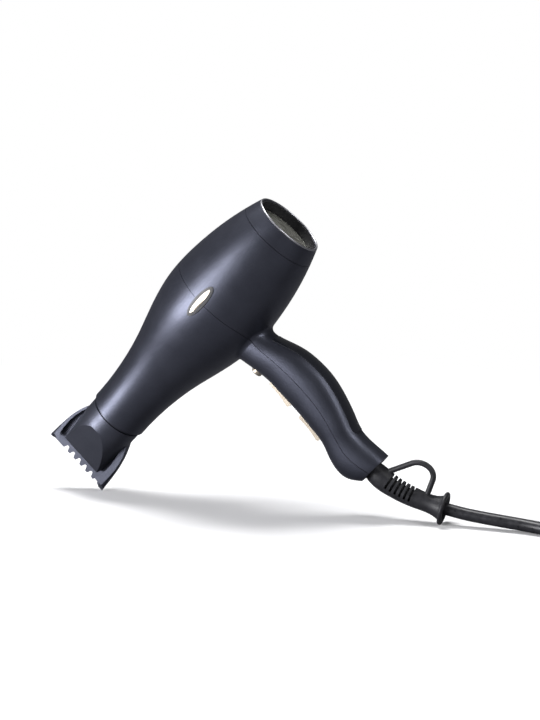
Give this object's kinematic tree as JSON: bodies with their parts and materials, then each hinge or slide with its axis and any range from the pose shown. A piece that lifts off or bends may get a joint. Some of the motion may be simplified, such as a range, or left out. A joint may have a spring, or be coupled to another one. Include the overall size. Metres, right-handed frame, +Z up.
{
  "type": "hair dryer",
  "caption": "Handheld hair dryer with comb-edged concentrator nozzle, removable intake filter, rocker switches, hang loop and mains cord with a round-pin plug.",
  "frame": {"origin": "under the middle of the dryer, without its cord, on the surface that it stands on", "axes": "+Z up as the dryer stands on its nozzle wing and its cord guard; +X from the nozzle towards the cord; the dryer's own plane of symmetry is Y = 0"},
  "size_m": [0.4987, 0.1324, 0.2219],
  "materials": {
    "soft_touch_shell": "fine matte soft-touch",
    "nozzle_plastic": "fine matte",
    "gloss_black": "gloss",
    "champagne": "satin metallic",
    "black_plastic": "moulded",
    "rim_metal": "satin",
    "mesh_steel": "drawn",
    "sleeve_aluminium": "drawn",
    "mica": "layered mineral sheet",
    "heater_wire": "drawn, heat tinted",
    "rubber_black": "matte",
    "cord_pvc": "satin",
    "pin_brass": "polished",
    "rotor": "machined",
    "board": "laminate"
  },
  "bodies": {
    "dryer": {"front_housing": "soft_touch_shell", "rear_housing": "soft_touch_shell", "spine_inlay": "gloss_black", "handle_end_cap": "black_plastic", "badge_bezels": "black_plastic", "badge_inserts": "champagne", "outlet_sleeve": "sleeve_aluminium", "outlet_grille": "black_plastic", "mica_tube": "mica", "mica_board_upright": "mica", "mica_board_level": "mica", "heating_coils": "heater_wire", "thermostat": "mesh_steel", "thermal_fuse": "mesh_steel", "ion_module": "black_plastic", "ion_emitter": "mesh_steel", "motor_duct": "black_plastic", "motor_rubber_rings": "rubber_black", "motor_can": "mesh_steel", "motor_end_plate": "black_plastic", "motor_bushes": "pin_brass", "motor_magnets": "rotor", "intake_guard": "black_plastic", "cool_shot_switch": "black_plastic", "heat_switch": "black_plastic", "speed_switch": "black_plastic", "circuit_board": "board", "board_parts": "board", "internal_leads": "cord_pvc", "cord_inner_end": "cord_pvc", "cord_clamp": "black_plastic", "clamp_screws": "mesh_steel", "housing_screws": "mesh_steel", "strain_relief": "rubber_black", "hang_loop": "rubber_black", "power_cord": "cord_pvc", "cord_coil": "cord_pvc", "cord_tail": "cord_pvc", "plug_guard": "cord_pvc", "plug_body": "cord_pvc", "plug_pins": "pin_brass"},
    "grip_ring": {"nozzle_grip_ring": "mesh_steel"},
    "nozzle": {"nozzle_shell": "nozzle_plastic"},
    "filter_cap": {"filter_cap": "soft_touch_shell", "filter_rim": "rim_metal", "filter_frame": "black_plastic", "filter_mesh": "mesh_steel", "filter_grid": "black_plastic"},
    "fan": {"fan_impeller": "black_plastic", "motor_shaft": "mesh_steel", "motor_armature": "rotor"},
    "cool_shot_button": {"cool_shot_button": "champagne"},
    "heat_rocker": {"heat_rocker": "champagne"},
    "speed_rocker": {"speed_rocker": "champagne"}
  },
  "joints": [
    {"name": "nozzle_pull", "type": "slide", "parent": "dryer", "child": "grip_ring", "axis": [-0.6845, 0, -0.729], "range_m": [0, 0.025]},
    {"name": "nozzle_turn", "type": "hinge", "parent": "grip_ring", "child": "nozzle", "pos_m": [-0.09538, 0, 0.06135], "axis": [0.6845, 0, 0.729], "continuous": true},
    {"name": "filter_pull", "type": "slide", "parent": "dryer", "child": "filter_cap", "axis": [0.6845, 0, 0.729], "range_m": [0, 0.02]},
    {"name": "fan_spin", "type": "hinge", "parent": "dryer", "child": "fan", "pos_m": [-0.01324, 0, 0.14882], "axis": [0.6845, 0, 0.729], "continuous": true},
    {"name": "cool_shot_press", "type": "slide", "parent": "dryer", "child": "cool_shot_button", "axis": [0.6845, 0, 0.729], "range_m": [0, 0.0018], "stiffness_N_per_m": 600, "springref_m": -0.002},
    {"name": "heat_rocker_tilt", "type": "hinge", "parent": "dryer", "child": "heat_rocker", "pos_m": [0.03893, 0, 0.08941], "axis": [0, -1, 0], "range_deg": [0, 12]},
    {"name": "speed_rocker_tilt", "type": "hinge", "parent": "dryer", "child": "speed_rocker", "pos_m": [0.06116, 0, 0.06648], "axis": [0, -1, 0], "range_deg": [0, 12]}
  ]
}
